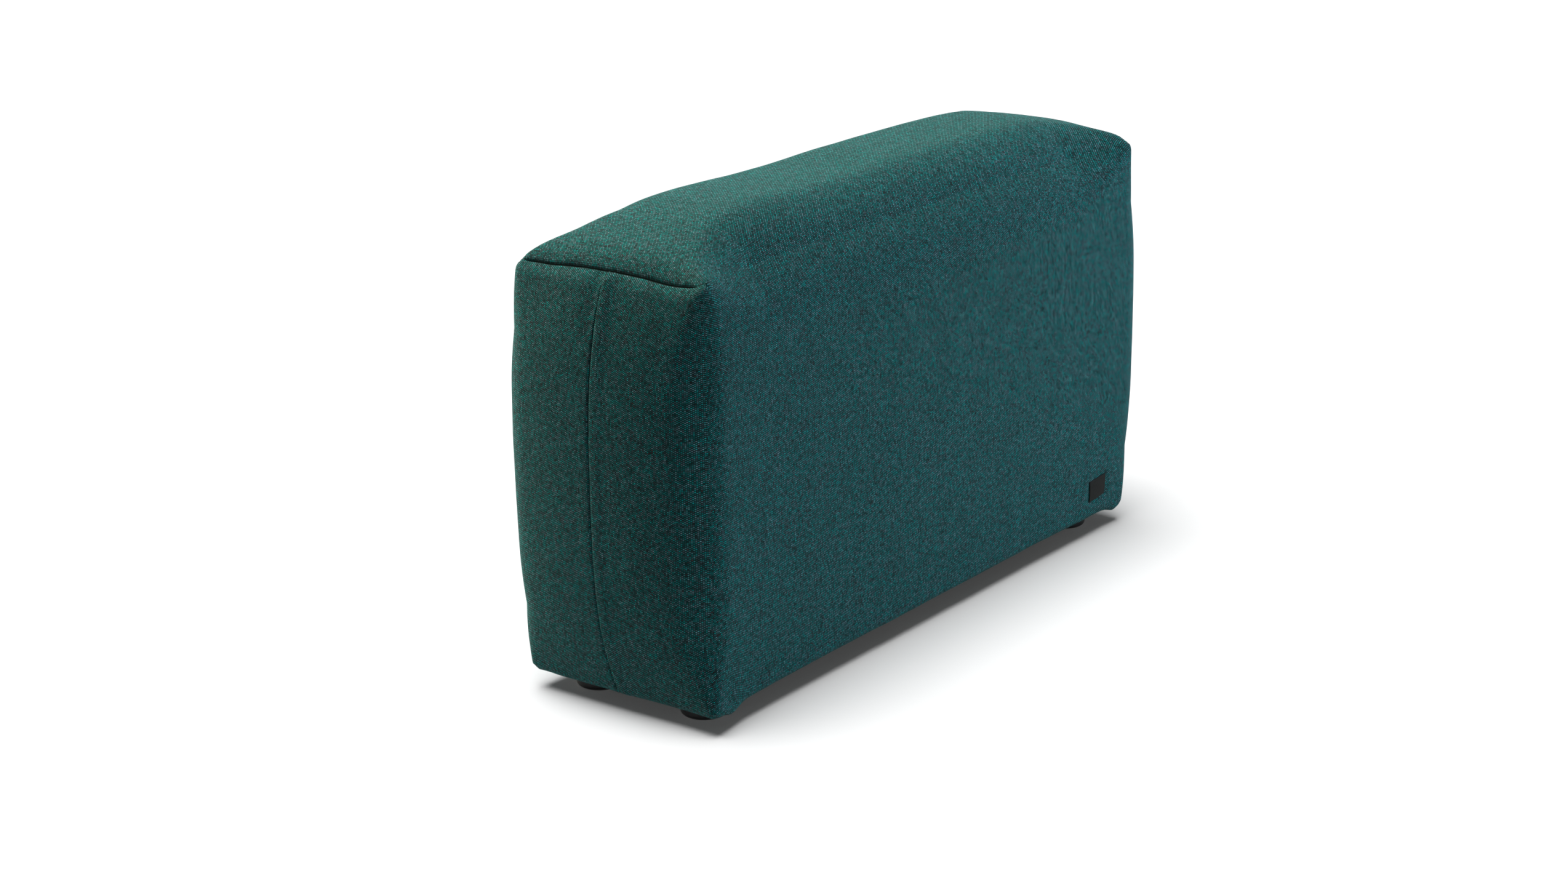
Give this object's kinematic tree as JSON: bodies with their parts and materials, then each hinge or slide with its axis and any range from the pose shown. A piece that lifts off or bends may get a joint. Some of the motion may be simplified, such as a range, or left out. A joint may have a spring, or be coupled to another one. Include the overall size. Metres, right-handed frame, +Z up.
{
  "type": "modular sofa element",
  "caption": "Side or back element of a modular sofa: a padded box frame under a fabric slipcover, on screw-in feet, with swing-out links that hook it to its neighbour.",
  "frame": {"origin": "on the floor under the middle of the element, level with the soles of the feet", "axes": "+X along the length towards the right end as seen from the labelled front, +Y from the labelled front to the back, +Z up"},
  "size_m": [1.0498, 0.3152, 0.6079],
  "materials": {
    "cover_fabric": "matte",
    "wadding": "matte",
    "foam": "matte",
    "label_fabric": "matte",
    "tape": "matte",
    "underside_fabric": "matte",
    "plywood": "matte",
    "hardboard": "matte",
    "foot_plastic": "satin",
    "zinc_steel": "satin"
  },
  "bodies": {
    "element": {"cover": "cover_fabric", "wadding_wrap": "wadding", "top_foam": "foam", "front_foam": "foam", "back_foam": "foam", "left_end_foam": "foam", "right_end_foam": "foam", "label_patch": "label_fabric", "hook_tape": "tape", "loop_tape": "tape", "underside_cloth": "underside_fabric", "underside_staples": "zinc_steel", "base_board": "plywood", "left_end_board": "plywood", "right_end_board": "plywood", "centre_rib": "plywood", "top_board": "plywood", "front_panel": "hardboard", "back_panel": "hardboard", "corner_blocks": "plywood", "frame_screws": "zinc_steel", "panel_staples": "zinc_steel", "foot_t_nuts": "zinc_steel", "link_bolts": "zinc_steel", "link_spacers": "zinc_steel", "link_t_nuts": "zinc_steel", "keeper_pins": "zinc_steel"},
    "foot_front_left": {"foot_front_left": "foot_plastic", "stud_front_left": "zinc_steel"},
    "foot_front_right": {"foot_front_right": "foot_plastic", "stud_front_right": "zinc_steel"},
    "foot_back_left": {"foot_back_left": "foot_plastic", "stud_back_left": "zinc_steel"},
    "foot_back_right": {"foot_back_right": "foot_plastic", "stud_back_right": "zinc_steel"},
    "link_left": {"link_left": "zinc_steel"},
    "link_right": {"link_right": "zinc_steel"}
  },
  "joints": [
    {"name": "level_front_left", "type": "slide", "parent": "element", "child": "foot_front_left", "axis": [0, 0, 1], "range_m": [-0.006, 0]},
    {"name": "level_front_right", "type": "slide", "parent": "element", "child": "foot_front_right", "axis": [0, 0, 1], "range_m": [-0.006, 0]},
    {"name": "level_back_left", "type": "slide", "parent": "element", "child": "foot_back_left", "axis": [0, 0, 1], "range_m": [-0.006, 0]},
    {"name": "level_back_right", "type": "slide", "parent": "element", "child": "foot_back_right", "axis": [0, 0, 1], "range_m": [-0.006, 0]},
    {"name": "link_left_swing", "type": "hinge", "parent": "element", "child": "link_left", "pos_m": [-0.3, 0.04, 0.0248], "axis": [0, 0, 1], "range_deg": [0, 104.97]},
    {"name": "link_right_swing", "type": "hinge", "parent": "element", "child": "link_right", "pos_m": [0.3, 0.04, 0.0248], "axis": [0, 0, 1], "range_deg": [-104.97, 0]}
  ]
}
